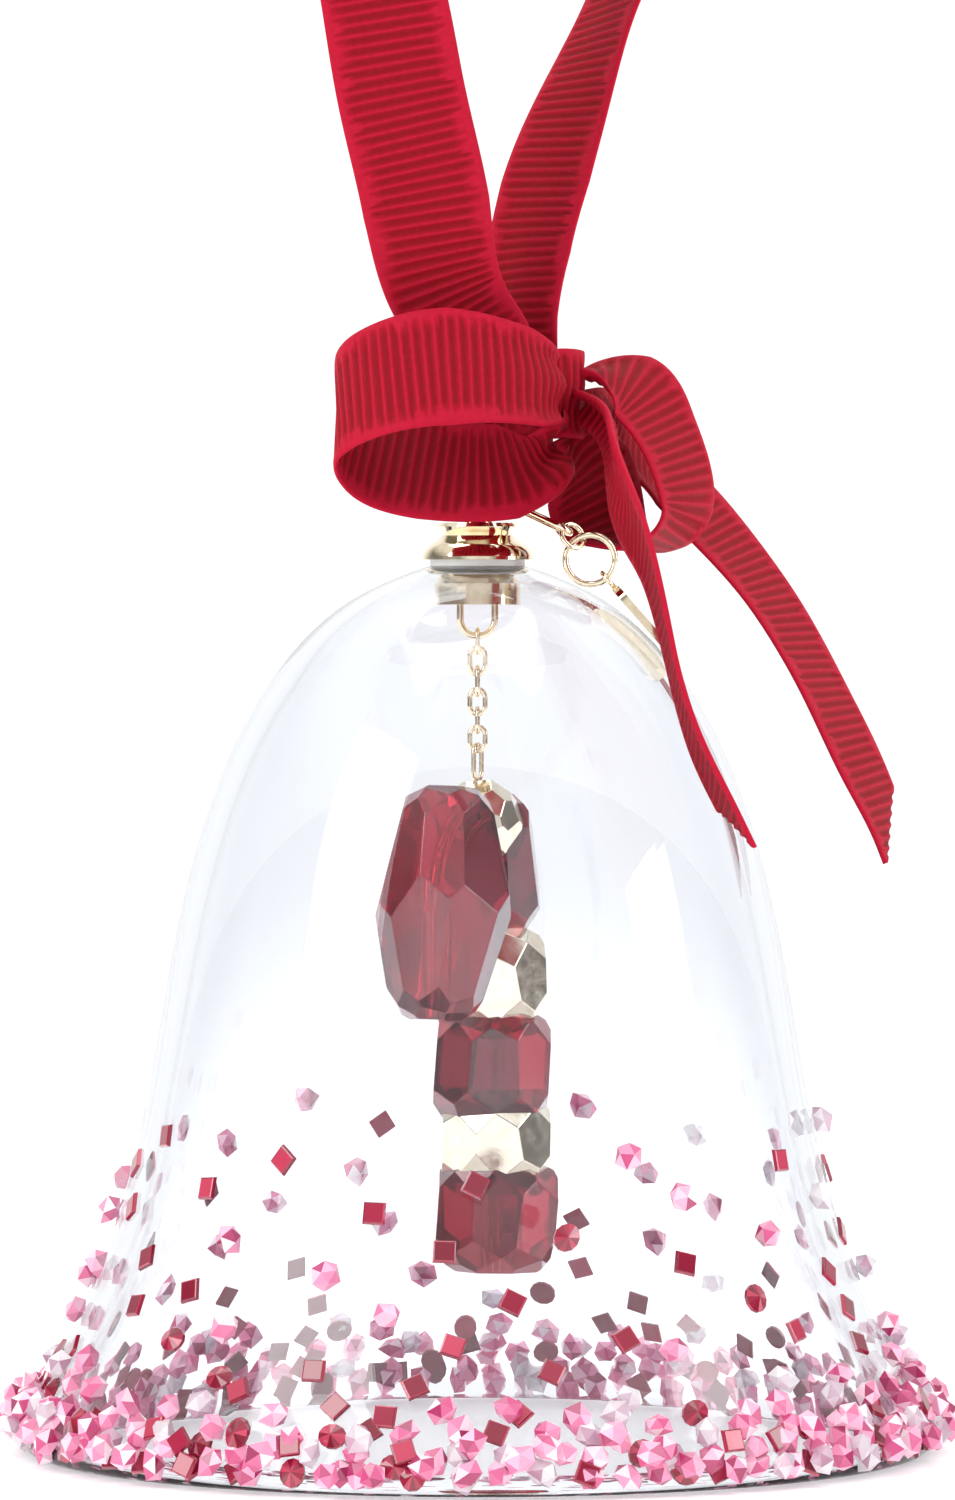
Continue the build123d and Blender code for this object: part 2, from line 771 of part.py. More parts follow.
save("glass_bell", glass_bell_part())
save("outer_gasket", washer(gasket_diameter, bell_height, gasket_thickness))
save("inner_gasket", washer(nut_diameter, inner_gasket_bottom, inner_gasket_thickness))
save("dome_cap", dome_cap_part())
save("cap_stud", cap_stud_part())
save("inner_nut", inner_nut_part())
save("clapper_shackle", shackle_part())
save("hang_ring", hang_ring_part())

for number in range(chain_link_count):
    turn = 90 if number % 2 == 0 else 0
    save(f"chain_link_{number + 1}", upright_link(link_tops[number], turn, link_length, link_width, link_wire))
save("cane_eye", upright_link(link_tops[-1], eye_turn, eye_length, eye_width, link_wire))

bead_cuts = [
    ("cane_foot_stone", 0, foot_length, foot_bead, 0),
    ("cane_lower_bead", foot_length, foot_length + bead_pitch, short_bead, 22.5),
    ("cane_middle_stone", foot_length + bead_pitch, foot_length + 2 * bead_pitch, short_bead, 0),
    ("cane_upper_bead", foot_length + 2 * bead_pitch, foot_length + 3 * bead_pitch, short_bead, 22.5),
    ("cane_back_stone", foot_length + 3 * bead_pitch, saddle_start, back_bead, 0),
    ("cane_top_bead", saddle_start, saddle_end, saddle_bead, 22.5),
    ("cane_hook_stone", saddle_end, hook_end, front_bead, 0),
]
save("cane_core", cane_rod(core_wire, core_start, core_end))
for name, start, end, profile, turn in bead_cuts:
    save(name, cane_bead(start, end, profile, turn))

save("tag_link", oval_link(tag_link_centre, link_across, link_normal, tag_link_length, tag_link_width, tag_link_wire))
save("tag_small_ring", round_ring(small_ring_centre, small_ring_normal, small_ring_radius, small_ring_wire))
save("tag_jump_ring", round_ring(jump_ring_centre, Vector(0, 1, 0), jump_ring_radius, jump_ring_wire))
save("name_tag", tag_part())

bow_knot = knot_part()
save("bow_knot", bow_knot)
save("ribbon_saddle", saddle_part())
save("hanging_ribbon", ribbon_strip(hanging_route))
save("bow_left_loop", ribbon_strip(left_loop_route))
save("bow_right_loop", ribbon_strip(right_loop_route))
save("bow_front_tail", ribbon_strip(front_tail_route))
save("bow_side_tail", ribbon_strip(side_tail_route))

stones = {
    "square_stones": square_stone(),
    "round_stones": round_stone(round_diameter, round_height, 10, 0.35),
    "pink_stones": round_stone(pink_diameter, pink_height, 7, 0.45),
    "clear_stones": round_stone(clear_diameter, clear_height, 8, 0.5),
}
for name, planes in sort_stones().items():
    save(name, stone_group(stones[name.split("_", 1)[1]], planes))
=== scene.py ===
import bmesh
import bpy
import json
import math
import numpy as np
import random
from mathutils import Matrix, Vector, noise


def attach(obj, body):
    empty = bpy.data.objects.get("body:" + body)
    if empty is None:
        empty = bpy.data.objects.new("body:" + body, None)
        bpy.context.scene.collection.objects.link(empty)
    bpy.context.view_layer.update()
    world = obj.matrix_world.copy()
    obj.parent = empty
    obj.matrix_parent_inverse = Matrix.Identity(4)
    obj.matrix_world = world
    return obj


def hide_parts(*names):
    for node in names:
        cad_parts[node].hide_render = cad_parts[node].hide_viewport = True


# Glass bell ornament on a tied grosgrain ribbon, with a faceted candy-cane clapper and cut stones
# round its mouth. Shapes are worked out in millimetres and brought to metres when a piece is made.

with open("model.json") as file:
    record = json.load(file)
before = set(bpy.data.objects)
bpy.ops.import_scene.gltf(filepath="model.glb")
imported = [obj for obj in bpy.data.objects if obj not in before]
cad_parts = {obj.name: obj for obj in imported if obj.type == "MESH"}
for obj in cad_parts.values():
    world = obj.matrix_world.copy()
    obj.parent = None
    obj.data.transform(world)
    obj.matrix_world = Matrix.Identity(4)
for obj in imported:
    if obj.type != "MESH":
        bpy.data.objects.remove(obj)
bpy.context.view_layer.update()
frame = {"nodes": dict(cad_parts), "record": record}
MM = 0.001


# ---- sizes that repeat the frame's ----
bell_height = 69.7
crown_radius = 3.9
outline_points = [
    (3.9, 69.7), (10.0, 67.0), (15.8, 61.4), (21.1, 51.0), (24.9, 35.0),
    (28.3, 19.0), (31.1, 11.5), (33.4, 7.0), (35.3, 3.2), (36.0, 0.9),
]
glass_wall = 1.8
crown_wall = 1.1
stud_hole_radius = 1.75
ribbon_width = 10.0
rib_pitch = 0.86
ribbon_half_thickness = 0.24
groove_depth = 0.15
cells_per_rib = 8
lowest_stone = 1.5
scatter_count = 104


# ---- smooth lines through given points ----
def smooth_line(rows, place_columns=3):
    """Natural cubic curve through rows of numbers. Returns its knots and a reader of any distance."""
    rows = np.array(rows, dtype=float)
    gaps = np.linalg.norm(np.diff(rows[:, :place_columns], axis=0), axis=1)
    knots = np.concatenate([[0.0], np.cumsum(gaps)])
    count = len(rows)
    system = np.zeros((count, count))
    target = np.zeros_like(rows)
    system[0, 0] = system[-1, -1] = 1.0
    for i in range(1, count - 1):
        system[i, i - 1] = gaps[i - 1]
        system[i, i] = 2 * (gaps[i - 1] + gaps[i])
        system[i, i + 1] = gaps[i]
        target[i] = 6 * ((rows[i + 1] - rows[i]) / gaps[i] - (rows[i] - rows[i - 1]) / gaps[i - 1])
    bends = np.linalg.solve(system, target)

    def read(distance):
        i = int(np.clip(np.searchsorted(knots, distance) - 1, 0, count - 2))
        gap = gaps[i]
        a = (knots[i + 1] - distance) / gap
        b = (distance - knots[i]) / gap
        curve = ((a ** 3 - a) * bends[i] + (b ** 3 - b) * bends[i + 1]) * gap * gap / 6
        return a * rows[i] + b * rows[i + 1] + curve

    return knots, read


outline_knots, outline_read = smooth_line(outline_points, 2)


def outline_at(height):
    """Radius of the glass's outer face at a height, and its outward normal as (radial, upward)."""
    low, high = 0.0, outline_knots[-1]
    for step in range(24):
        middle = (low + high) / 2
        if outline_read(middle)[1] > height:
            low = middle
        else:
            high = middle
    here = outline_read(low)
    run = outline_read(low + 0.05) - outline_read(low - 0.05)
    run /= np.linalg.norm(run)
    return float(here[0]), (float(-run[1]), float(run[0]))


# ---- making a piece ----
def finish_piece(bm, name, body, material, stands_for, smooth=True):
    """Turns a bmesh drawn in millimetres into a finished object at the origin, riding on its body."""
    bmesh.ops.scale(bm, vec=(MM, MM, MM), verts=bm.verts)
    for face in bm.faces:
        face.smooth = smooth
    mesh = bpy.data.meshes.new(name)
    bm.to_mesh(mesh)
    bm.free()
    mesh.materials.append(material)
    piece = bpy.data.objects.new(name, mesh)
    bpy.context.scene.collection.objects.link(piece)
    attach(piece, body)
    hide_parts(*stands_for)
    return piece


# ---- node helpers ----
def new_material(name):
    material = bpy.data.materials.new(name)
    material.use_nodes = True
    nodes = material.node_tree.nodes
    shader = nodes["Principled BSDF"]
    return material, nodes, material.node_tree.links, shader


def new_group(name, inputs, outputs):
    """Empty shader node group with number sockets."""
    group = bpy.data.node_groups.new(name, "ShaderNodeTree")
    for label, value in inputs:
        socket = group.interface.new_socket(label, in_out="INPUT", socket_type="NodeSocketFloat")
        socket.default_value = value
    for label in outputs:
        group.interface.new_socket(label, in_out="OUTPUT", socket_type="NodeSocketFloat")
    return group, group.nodes.new("NodeGroupInput"), group.nodes.new("NodeGroupOutput")


def make_polish_group():
    """Hand polish: soft cloudy roughness, and a faint waviness of the surface."""
    group, source, sink = new_group(
        "polish",
        [("Scale", 400.0), ("Smoothest", 0.05), ("Roughest", 0.15)],
        ["Roughness", "Wave"],
    )
    nodes, links = group.nodes, group.links
    place = nodes.new("ShaderNodeTexCoord")
    cloud = nodes.new("ShaderNodeTexNoise")
    cloud.inputs["Detail"].default_value = 4.0
    spread = nodes.new("ShaderNodeMapRange")
    spread.inputs["From Min"].default_value = 0.3
    spread.inputs["From Max"].default_value = 0.7
    links.new(place.outputs["Object"], cloud.inputs["Vector"])
    links.new(source.outputs["Scale"], cloud.inputs["Scale"])
    links.new(cloud.outputs["Fac"], spread.inputs["Value"])
    links.new(source.outputs["Smoothest"], spread.inputs["To Min"])
    links.new(source.outputs["Roughest"], spread.inputs["To Max"])
    links.new(spread.outputs["Result"], sink.inputs["Roughness"])
    links.new(cloud.outputs["Fac"], sink.inputs["Wave"])
    return group


polish = make_polish_group()


def add_polish(nodes, links, shader, scale, smoothest, roughest, wave_strength, wave_depth):
    """Places the polish group in a material and joins it to roughness and to a shallow bump."""
    marks = nodes.new("ShaderNodeGroup")
    marks.node_tree = polish
    marks.inputs["Scale"].default_value = scale
    marks.inputs["Smoothest"].default_value = smoothest
    marks.inputs["Roughest"].default_value = roughest
    links.new(marks.outputs["Roughness"], shader.inputs["Roughness"])
    bump = nodes.new("ShaderNodeBump")
    bump.inputs["Strength"].default_value = wave_strength
    bump.inputs["Distance"].default_value = wave_depth
    links.new(marks.outputs["Wave"], bump.inputs["Height"])
    links.new(bump.outputs["Normal"], shader.inputs["Normal"])
    return marks


def tone_from(nodes, links, factor, stops):
    """Colour ramp driven by a factor socket."""
    ramp = nodes.new("ShaderNodeValToRGB")
    ramp.color_ramp.elements[0].position = stops[0][0]
    ramp.color_ramp.elements[0].color = (*stops[0][1], 1)
    ramp.color_ramp.elements[1].position = stops[-1][0]
    ramp.color_ramp.elements[1].color = (*stops[-1][1], 1)
    for place, colour in stops[1:-1]:
        stop = ramp.color_ramp.elements.new(place)
        stop.color = (*colour, 1)
    links.new(factor, ramp.inputs["Fac"])
    return ramp.outputs["Color"]


def make_clear_glass():
    material, nodes, links, shader = new_material("blown clear glass")
    shader.inputs["Base Color"].default_value = (0.97, 0.975, 0.99, 1)
    shader.inputs["Transmission Weight"].default_value = 1.0
    shader.inputs["IOR"].default_value = 1.45
    add_polish(nodes, links, shader, 14.0, 0.0, 0.008, 0.02, 0.0006)
    tint = nodes.new("ShaderNodeVolumeAbsorption")
    tint.inputs["Color"].default_value = (0.62, 0.68, 0.76, 1)
    tint.inputs["Density"].default_value = 55.0
    links.new(tint.outputs["Volume"], nodes["Material Output"].inputs["Volume"])
    return material


def make_metal(name, dark, light, smoothest, roughest):
    material, nodes, links, shader = new_material(name)
    shader.inputs["Metallic"].default_value = 1.0
    marks = add_polish(nodes, links, shader, 900.0, smoothest, roughest, 0.06, 0.0001)
    colour = tone_from(nodes, links, marks.outputs["Wave"], [(0.3, dark), (0.7, light)])
    links.new(colour, shader.inputs["Base Color"])
    return material


def make_crystal(name, stops, transmission, painted_glow=0.0):
    """Cut crystal: every facet has its own random tone, from the mesh's facet_sparkle_tone, as painted sparkle
    (painted highlights and reflections on light facets, painted shade on dark ones), under a glassy polish, with
    an optional painted glow.
    """
    material, nodes, links, shader = new_material(name)
    tone = nodes.new("ShaderNodeAttribute")
    tone.attribute_name = "facet_sparkle_tone"
    colour = tone_from(nodes, links, tone.outputs["Fac"], stops)
    links.new(colour, shader.inputs["Base Color"])
    shader.inputs["Transmission Weight"].default_value = transmission
    shader.inputs["IOR"].default_value = 1.6
    shader.inputs["Coat Weight"].default_value = 0.5
    shader.inputs["Coat Roughness"].default_value = 0.02
    # Painted glow: the facet colour is also given off as light, though the stone is no lamp.
    if painted_glow:
        links.new(colour, shader.inputs["Emission Color"])
        shader.inputs["Emission Strength"].default_value = painted_glow
    add_polish(nodes, links, shader, 700.0, 0.01, 0.06, 0.04, 0.0001)
    return material


def make_grosgrain():
    """Ribbed ribbon: rib tops painted lighter as a painted highlight, deep grooves painted darker as painted
    shade, fine crossing threads and a soft sheen.
    """
    material, nodes, links, shader = new_material("crimson grosgrain")
    flat_place = nodes.new("ShaderNodeUVMap")
    flat_place.uv_map = "threads"
    groove_shade = nodes.new("ShaderNodeAttribute")
    groove_shade.attribute_name = "groove_shade"
    warp = nodes.new("ShaderNodeTexWave")
    warp.wave_type = "BANDS"
    warp.bands_direction = "X"
    warp.inputs["Scale"].default_value = 3.4
    warp.inputs["Distortion"].default_value = 1.2
    warp.inputs["Detail"].default_value = 2.0
    links.new(flat_place.outputs["UV"], warp.inputs["Vector"])
    fuzz = nodes.new("ShaderNodeTexNoise")
    fuzz.inputs["Scale"].default_value = 2.2
    fuzz.inputs["Detail"].default_value = 5.0
    links.new(flat_place.outputs["UV"], fuzz.inputs["Vector"])
    # Painted highlight on the rib tops and painted shade in the grooves, read per vertex from how deep the grooves
    # run.
    groove_shaded_colour = tone_from(nodes, links, groove_shade.outputs["Fac"], [
        (0.0, (0.52, 0.004, 0.030)), (0.25, (0.42, 0.001, 0.018)), (1.0, (0.27, 0.0004, 0.008)),
    ])
    uneven = nodes.new("ShaderNodeMix")
    uneven.data_type = "RGBA"
    uneven.blend_type = "MULTIPLY"
    uneven.inputs["Factor"].default_value = 0.45
    links.new(groove_shaded_colour, uneven.inputs["A"])
    patches = tone_from(nodes, links, fuzz.outputs["Fac"], [(0.3, (0.62, 0.6, 0.62)), (0.7, (1, 1, 1))])
    links.new(patches, uneven.inputs["B"])
    links.new(uneven.outputs["Result"], shader.inputs["Base Color"])
    shader.inputs["Roughness"].default_value = 0.62
    shader.inputs["Sheen Weight"].default_value = 0.03
    shader.inputs["Specular IOR Level"].default_value = 0.14
    shader.inputs["Sheen Roughness"].default_value = 0.4
    shader.inputs["Sheen Tint"].default_value = (1.0, 0.35, 0.45, 1)
    height = nodes.new("ShaderNodeMath")
    height.operation = "ADD"
    links.new(warp.outputs["Fac"], height.inputs[0])
    links.new(fuzz.outputs["Fac"], height.inputs[1])
    bump = nodes.new("ShaderNodeBump")
    bump.inputs["Strength"].default_value = 0.35
    bump.inputs["Distance"].default_value = 0.00008
    links.new(height.outputs["Value"], bump.inputs["Height"])
    links.new(bump.outputs["Normal"], shader.inputs["Normal"])
    return material


def make_gasket():
    material, nodes, links, shader = new_material("milky gasket plastic")
    shader.inputs["Base Color"].default_value = (0.86, 0.86, 0.84, 1)
    shader.inputs["Subsurface Weight"].default_value = 0.3
    shader.inputs["Subsurface Radius"].default_value = (0.001, 0.001, 0.001)
    add_polish(nodes, links, shader, 500.0, 0.25, 0.4, 0.1, 0.0001)
    return material


clear_glass = make_clear_glass()
pale_gold = make_metal("polished pale gold", (0.82, 0.68, 0.47), (0.93, 0.82, 0.62), 0.04, 0.13)
bead_gold = make_metal("champagne gold bead", (0.86, 0.76, 0.58), (0.96, 0.88, 0.74), 0.05, 0.14)
# Crystal tone ramps run from painted shade on the darkest facets to painted highlights and reflections on the
# lightest.
ruby = make_crystal("ruby crystal", [
    (0.0, (0.13, 0.006, 0.022)), (0.5, (0.40, 0.008, 0.030)), (1.0, (0.72, 0.04, 0.085)),
], 0.7)
# The last number of the red, pink and clear stones is their painted glow.
red_stone = make_crystal("red stone", [
    (0.0, (0.20, 0.004, 0.022)), (0.6, (0.34, 0.010, 0.045)), (1.0, (0.62, 0.06, 0.12)),
], 0.15, 0.12)
pink_stone = make_crystal("pink crystal", [
    (0.0, (0.30, 0.012, 0.08)), (0.2, (0.62, 0.07, 0.22)), (0.5, (0.86, 0.28, 0.47)),
    (0.8, (0.93, 0.52, 0.68)), (1.0, (1.0, 0.92, 0.95)),
], 0.2, 0.16)
clear_stone = make_crystal("clear crystal", [
    (0.0, (0.62, 0.30, 0.44)), (0.3, (0.78, 0.62, 0.72)), (0.6, (0.93, 0.86, 0.91)), (1.0, (1.0, 1.0, 1.0)),
], 0.4, 0.04)
gasket = make_gasket()
grosgrain = make_grosgrain()

finishes = {
    "ribbon": grosgrain, "clear_glass": clear_glass, "pale_gold": pale_gold, "gold_bead": bead_gold,
    "ruby_crystal": ruby, "red_stone": red_stone, "pink_stone": pink_stone, "clear_stone": clear_stone,
    "gasket": gasket,
}
for row in frame["record"]["subparts"]:
    shape = frame["nodes"][row["node"]]
    for place in shape.material_slots:
        place.material = finishes[row["material_slot"]]


# ---- glass bell ----
def make_glass():
    """Wall of the bell: its section, spun round the axis."""
    total = outline_knots[-1]
    outer = []
    inner = []
    for step in range(61):
        distance = total * step / 60
        here = outline_read(distance)
        run = outline_read(min(distance + 0.05, total)) - outline_read(max(distance - 0.05, 0))
        run /= np.linalg.norm(run)
        wall = crown_wall + (glass_wall - crown_wall) * min(distance / 14.0, 1.0)
        outer.append((here[0], here[1]))
        inner.append((here[0] + run[1] * wall, here[1] - run[0] * wall))
    inner[0] = (crown_radius, bell_height - crown_wall)
    rim = [(35.82, 0.28), (35.4, 0.0), (34.85, 0.0), (34.42, 0.28)]
    section = [(stud_hole_radius, bell_height), (2.8, bell_height)] + outer + rim + list(reversed(inner))
    section += [(2.8, bell_height - crown_wall), (stud_hole_radius, bell_height - crown_wall)]
    bm = bmesh.new()
    verts = [bm.verts.new((r, 0, z)) for r, z in section]
    edges = [bm.edges.new((a, b)) for a, b in zip(verts, verts[1:] + verts[:1])]
    bmesh.ops.spin(
        bm, geom=verts + edges, cent=(0, 0, 0), axis=(0, 0, 1), angle=2 * math.pi, steps=144, use_merge=True,
    )
    bmesh.ops.remove_doubles(bm, verts=bm.verts, dist=0.0005)
    bmesh.ops.recalc_face_normals(bm, faces=bm.faces)
    return finish_piece(bm, "bell_glass", "bell", clear_glass, ["glass_bell"])


make_glass()


# ---- cut stones ----
def cut_lump(bm, centre, axis, side, half_length, radius, rings, boxiness, jitter, chance):
    """Adds a closed stone with flat facets: a block cut by planes that touch a rounded barrel."""
    axis = Vector(axis).normalized()
    side = (Vector(side) - axis * Vector(side).dot(axis)).normalized()
    third = axis.cross(side)
    lump = bmesh.new()
    bmesh.ops.create_cube(lump, size=4 * max(half_length, radius))
    for angle, count, turn in rings:
        for number in range(count):
            polar = math.radians(angle + chance.uniform(-jitter, jitter))
            round_turn = math.radians(turn + 360 * number / count + chance.uniform(-jitter, jitter))
            sine, cosine = abs(math.sin(polar)), abs(math.cos(polar))
            reach = ((radius * sine) ** boxiness + (half_length * cosine) ** boxiness) ** (1 / boxiness)
            outward = side * math.cos(round_turn) + third * math.sin(round_turn)
            normal = axis * math.cos(polar) + outward * math.sin(polar)
            cut = bmesh.ops.bisect_plane(
                lump, geom=lump.verts[:] + lump.edges[:] + lump.faces[:],
                plane_co=normal * reach, plane_no=normal, clear_outer=True,
            )
            rim = [g for g in cut["geom_cut"] if isinstance(g, bmesh.types.BMEdge)]
            if len(rim) > 2:
                bmesh.ops.edgeloop_fill(lump, edges=rim)
    bmesh.ops.remove_doubles(lump, verts=lump.verts, dist=0.01)
    bmesh.ops.recalc_face_normals(lump, faces=lump.faces)
    bmesh.ops.translate(lump, vec=Vector(centre), verts=lump.verts)
    part = bpy.data.meshes.new("lump")
    lump.to_mesh(part)
    lump.free()
    bm.from_mesh(part)
    bpy.data.meshes.remove(part)


def paint_facet_sparkle(bm, chance):
    """Gives every facet its own random tone, which the crystal materials turn into painted sparkle: painted
    highlights and reflections on light facets, painted shade on dark ones.
    """
    layer = bm.faces.layers.float.new("facet_sparkle_tone")
    for face in bm.faces:
        face[layer] = chance.uniform(0.0, 1.0)


barrel_rings = [(0, 1, 0), (34, 7, 10), (62, 8, 0), (90, 8, 22), (118, 8, 3), (146, 7, 20), (180, 1, 0)]
long_rings = [(0, 1, 0), (30, 6, 10), (55, 8, 0), (78, 8, 22), (102, 8, 4), (125, 8, 20), (150, 6, 8), (180, 1, 0)]
shaft_spot = (1.434, 3.734)
crook_way = Vector((-0.358, -0.934, 0))


def make_cane():
    """Seven cut beads on the cane's wire."""
    stone = (ruby, "ruby_crystal")
    metal = (bead_gold, "gold_bead")
    beads = [
        ("foot_stone", "cane_foot_stone", (*shaft_spot, 18.0), (0, 0, 1), 4.6, 4.6, barrel_rings, 1.3, stone),
        ("lower_gold_bead", "cane_lower_bead", (*shaft_spot, 23.9), (0, 0, 1), 4.2, 4.3, barrel_rings, 1.5, metal),
        ("middle_stone", "cane_middle_stone", (1.2, 3.7, 29.9), (0, 0, 1), 4.7, 4.4, barrel_rings, 1.3, stone),
        (
            "upper_gold_bead", "cane_upper_bead", (1.25, 3.6, 36.9), (-0.03, -0.08, 1),
            4.5, 4.1, barrel_rings, 1.5, metal,
        ),
        (
            "back_stone", "cane_back_stone", (0.75, 3.0, 45.9), (-0.10, -0.26, 0.96),
            5.6, 3.8, barrel_rings, 1.35, stone,
        ),
        (
            "crown_gold_bead", "cane_top_bead", (0.1, 0.4, 49.2), (-0.33, -0.85, 0.4),
            2.9, 3.3, barrel_rings, 1.6, metal,
        ),
        (
            "hook_stone", "cane_hook_stone", (-2.75, -7.5, 43.2), (0.06, 0.13, 0.99),
            9.1, 3.95, long_rings, 1.35, stone,
        ),
    ]
    for number, (name, node, centre, axis, half, radius, rings, boxiness, (material, slot)) in enumerate(beads):
        chance = random.Random(40 + number)
        bm = bmesh.new()
        cut_lump(bm, centre, axis, crook_way, half, radius, rings, boxiness, 5.0, chance)
        paint_facet_sparkle(bm, chance)
        bmesh.ops.bevel(bm, geom=bm.edges[:], offset=0.04, segments=1, profile=0.5, affect="EDGES", material=-1)
        finish_piece(bm, name, "cane", material, [node], smooth=False)


make_cane()


def stone_frame(height, bearing, spin, tilt, lift, lean):
    """Matrix that sits a stone on the glass: local Z out of the glass, turned by a spin, then tilted."""
    radius, (out, up) = outline_at(height)
    cosine, sine = math.cos(bearing), math.sin(bearing)
    normal = Vector((cosine * out, sine * out, up))
    level = Vector((-sine, cosine, 0))
    slope = normal.cross(level)
    place = Vector((radius * cosine, radius * sine, height)) + normal * lift
    basis = Matrix((level, slope, normal)).transposed().to_4x4()
    seated = Matrix.Translation(place) @ basis @ Matrix.Rotation(spin, 4, "Z")
    return seated @ Matrix.Rotation(tilt, 4, "X") @ Matrix.Rotation(lean, 4, "Y")


def stone_shape(kind, chance):
    """One stone at the origin, its back on Z = 0."""
    bm = bmesh.new()
    if kind == "square":
        bmesh.ops.create_cone(bm, cap_ends=True, segments=4, radius1=1.24, radius2=1.14, depth=0.26)
        bmesh.ops.translate(bm, vec=(0, 0, 0.17), verts=bm.verts)
        top = max(bm.faces, key=lambda face: face.calc_center_median().z)
        bmesh.ops.inset_individual(bm, faces=[top], thickness=0.14, depth=0.04)
    elif kind == "round":
        bmesh.ops.create_cone(bm, cap_ends=True, segments=12, radius1=1.14, radius2=1.14, depth=0.3)
        bmesh.ops.translate(bm, vec=(0, 0, 0.2), verts=bm.verts)
        top = max(bm.faces, key=lambda face: face.calc_center_median().z)
        bmesh.ops.poke(bm, faces=[top], offset=0.42)
        bmesh.ops.scale(bm, vec=(1.0, 0.86, 1.0), verts=bm.verts)
    else:
        bmesh.ops.create_icosphere(bm, subdivisions=1, radius=1.28)
        for vert in bm.verts:
            vert.co *= chance.uniform(0.78, 1.18)
        bmesh.ops.scale(bm, vec=(1.0, chance.uniform(0.8, 1.0), 0.72), verts=bm.verts)
        bmesh.ops.translate(bm, vec=(0, 0, 0.72), verts=bm.verts)
    return bm


def gather_stones(name, kind, places, chance, material, node):
    """Joins the stones of one cut and zone into one piece."""
    whole = bmesh.new()
    for place in places:
        single = stone_shape(kind, chance)
        single.transform(place)
        part = bpy.data.meshes.new("stone")
        single.to_mesh(part)
        single.free()
        whole.from_mesh(part)
        bpy.data.meshes.remove(part)
    paint_facet_sparkle(whole, chance)
    bmesh.ops.recalc_face_normals(whole, faces=whole.faces)
    finish_piece(whole, name, "bell", material, [node], smooth=False)


def make_stones():
    """Close, uneven rows of stones piled round the mouth, then a scatter that thins upwards."""
    chance = random.Random(7)
    rows = [(1.1, 74, 0.0), (2.7, 72, 0.0), (4.3, 66, 0.0), (5.9, 46, 0.0), (1.8, 56, 0.9), (3.6, 48, 0.9)]
    spots = []
    for height, count, lift in rows:
        for number in range(count):
            bearing = 2 * math.pi * (number + chance.uniform(-0.3, 0.3)) / count
            level = height + chance.uniform(-0.55, 0.55)
            spots.append(("rim", max(level, lowest_stone), bearing, lift))
    golden = math.pi * (3 - math.sqrt(5))
    for number in range(scatter_count):
        share = (number + 0.5) / scatter_count
        level = 6.6 + 20.0 * share ** 1.6 + chance.uniform(-0.6, 0.6)
        spots.append(("scattered", level, number * golden + chance.uniform(-0.1, 0.1), 0.0))
    deals = {"rim": [("square", 0.20), ("round", 0.32), ("pink", 0.85), ("clear", 1.0)],
             "scattered": [("square", 0.42), ("round", 0.53), ("pink", 0.90), ("clear", 1.0)]}
    groups = {}
    for zone, level, bearing, lift in spots:
        draw = chance.random()
        kind = [label for label, limit in deals[zone] if draw <= limit][0]
        play = 0.45 if zone == "rim" and kind in ("pink", "clear") else 0.1
        tilt = chance.uniform(-play, play)
        lean = chance.uniform(-play, play)
        place = stone_frame(level, bearing, chance.uniform(0, 2 * math.pi), tilt, lift, lean)
        groups.setdefault((zone, kind), []).append(place)
    looks = {"square": (red_stone, "red_stone"), "round": (red_stone, "red_stone"),
             "pink": (pink_stone, "pink_stone"), "clear": (clear_stone, "clear_stone")}
    for (zone, kind), places in sorted(groups.items()):
        material, slot = looks[kind]
        gather_stones(f"{zone}_{kind}_set", kind, places, chance, material, f"{zone}_{kind}_stones")


make_stones()


# ---- ribbon ----
def rib_profile(distance, edge, number_shift):
    """Depth of the hollow between ribs, 0 to 1, at a distance along the ribbon and from its nearer edge; it shapes
    the ribs and also sets the painted shade in the grooves.
    """
    turn = distance / rib_pitch
    number = math.floor(turn)
    phase = turn - number
    margin = 0.95 + 0.4 * noise.noise(Vector((number * 1.37 + number_shift, edge[1] * 5.0, 0.3)))
    inside = min(max((edge[0] - margin) / 0.3, 0.0), 1.0)
    inside = inside * inside * (3 - 2 * inside)
    crest = (0.5 - 0.5 * math.cos(2 * math.pi * phase)) ** 1.6
    return (1 - crest) * inside


